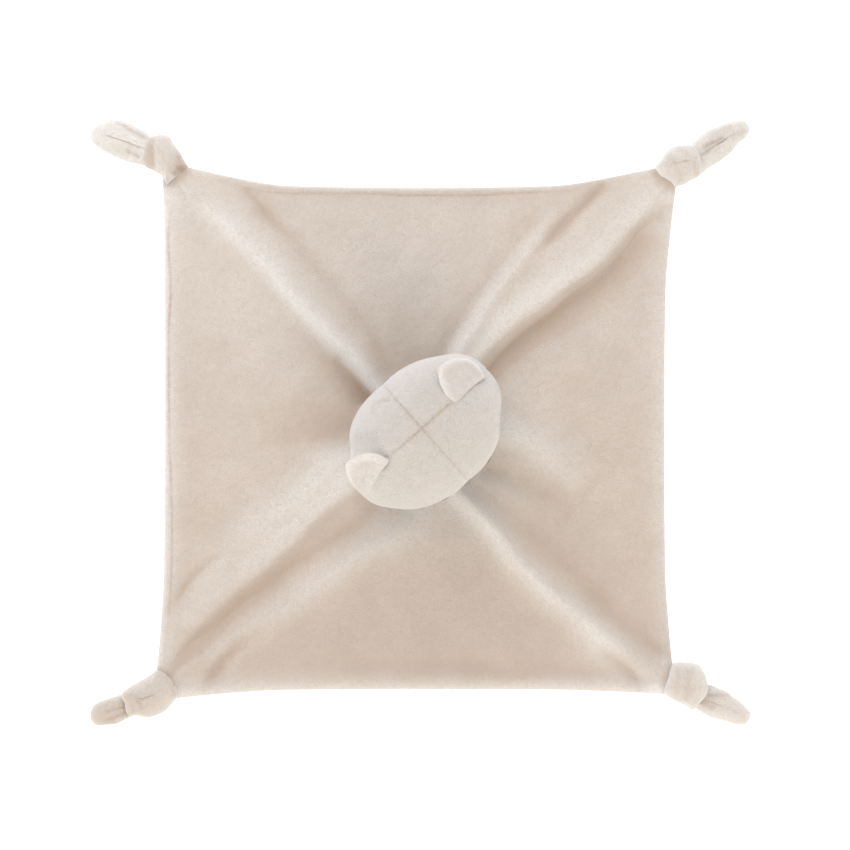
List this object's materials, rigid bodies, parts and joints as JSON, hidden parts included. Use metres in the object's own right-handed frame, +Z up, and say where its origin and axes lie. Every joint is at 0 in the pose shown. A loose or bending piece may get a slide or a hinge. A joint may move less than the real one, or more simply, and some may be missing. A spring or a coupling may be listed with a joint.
{
  "type": "comfort blanket",
  "caption": "Square plush comfort blanket with knotted corners and a stuffed round-eared animal head sewn to its gathered middle.",
  "frame": {"origin": "middle of the blanket's flat underside", "axes": "+Z up from the surface it lies on, +X and +Y along the blanket's sides; the face looks towards +X and -Y"},
  "size_m": [0.3944, 0.3629, 0.1031],
  "materials": {
    "plush": "short-pile polyester velboa, soft sheen",
    "sewing_thread": "spun polyester thread",
    "fibre_filling": "loose polyester fibre",
    "embroidery": "satin-stitched rayon thread"
  },
  "bodies": {
    "blanket": {"blanket_top_panel": "plush", "blanket_bottom_panel": "plush", "upper_seam_thread": "sewing_thread", "right_seam_thread": "sewing_thread", "lower_seam_thread": "sewing_thread", "left_seam_thread": "sewing_thread", "upper_left_knot": "plush", "upper_right_knot": "plush", "lower_right_knot": "plush", "lower_left_knot": "plush"},
    "neck": {"neck_gather": "plush"},
    "neck_seam": {"neck_seam_thread": "sewing_thread"},
    "head": {"head_front_left": "plush", "head_front_right": "plush", "head_back_left": "plush", "head_back_right": "plush", "head_filling": "fibre_filling", "left_eye": "embroidery", "right_eye": "embroidery", "nose": "embroidery", "mouth": "embroidery"},
    "left_ear": {"left_ear_front": "plush", "left_ear_back": "plush"},
    "right_ear": {"right_ear_front": "plush", "right_ear_back": "plush"},
    "upper_left_end": {"upper_left_tail": "plush"},
    "upper_right_end": {"upper_right_tail": "plush"},
    "lower_right_end": {"lower_right_tail": "plush"},
    "lower_left_end": {"lower_left_tail": "plush"}
  },
  "joints": [
    {"name": "head_turn", "type": "hinge", "parent": "blanket", "child": "neck", "pos_m": [0.0069, 0.0035, 0.0265], "axis": [0, 0, 1], "range_deg": [-30, 30], "stiffness_Nm_per_rad": 0.05},
    {"name": "head_tilt", "type": "hinge", "parent": "neck", "child": "neck_seam", "pos_m": [0.0069, 0.0035, 0.0265], "axis": [-0.6626, 0.749, 0], "range_deg": [-12, 12], "stiffness_Nm_per_rad": 0.1},
    {"name": "head_nod", "type": "hinge", "parent": "neck_seam", "child": "head", "pos_m": [0.0069, 0.0035, 0.0265], "axis": [0.749, 0.6626, 0], "range_deg": [-12, 15], "stiffness_Nm_per_rad": 0.1},
    {"name": "left_ear_fold", "type": "hinge", "parent": "head", "child": "left_ear", "pos_m": [0.03179, 0.03032, 0.08494], "axis": [0.6057, 0.5359, -0.5882], "range_deg": [-12, 70], "stiffness_Nm_per_rad": 0.004},
    {"name": "right_ear_fold", "type": "hinge", "parent": "head", "child": "right_ear", "pos_m": [-0.02276, -0.01793, 0.08494], "axis": [0.6057, 0.5359, 0.5882], "range_deg": [-35, 35], "stiffness_Nm_per_rad": 0.004},
    {"name": "upper_left_tail_lift", "type": "hinge", "parent": "blanket", "child": "upper_left_end", "pos_m": [-0.14829, 0.16575, 0.0118], "axis": [0.309, 0.9511, 0], "range_deg": [0, 70], "stiffness_Nm_per_rad": 0.002},
    {"name": "upper_right_tail_lift", "type": "hinge", "parent": "blanket", "child": "upper_right_end", "pos_m": [0.15727, 0.16168, 0.0118], "axis": [0.5299, -0.848, 0], "range_deg": [0, 70], "stiffness_Nm_per_rad": 0.002},
    {"name": "lower_right_tail_lift", "type": "hinge", "parent": "blanket", "child": "lower_right_end", "pos_m": [0.16325, -0.14769, 0.0118], "axis": [-0.454, -0.891, 0], "range_deg": [0, 70], "stiffness_Nm_per_rad": 0.002},
    {"name": "lower_left_tail_lift", "type": "hinge", "parent": "blanket", "child": "lower_left_end", "pos_m": [-0.15662, -0.15241, 0.0118], "axis": [-0.3907, 0.9205, 0], "range_deg": [0, 70], "stiffness_Nm_per_rad": 0.002}
  ]
}
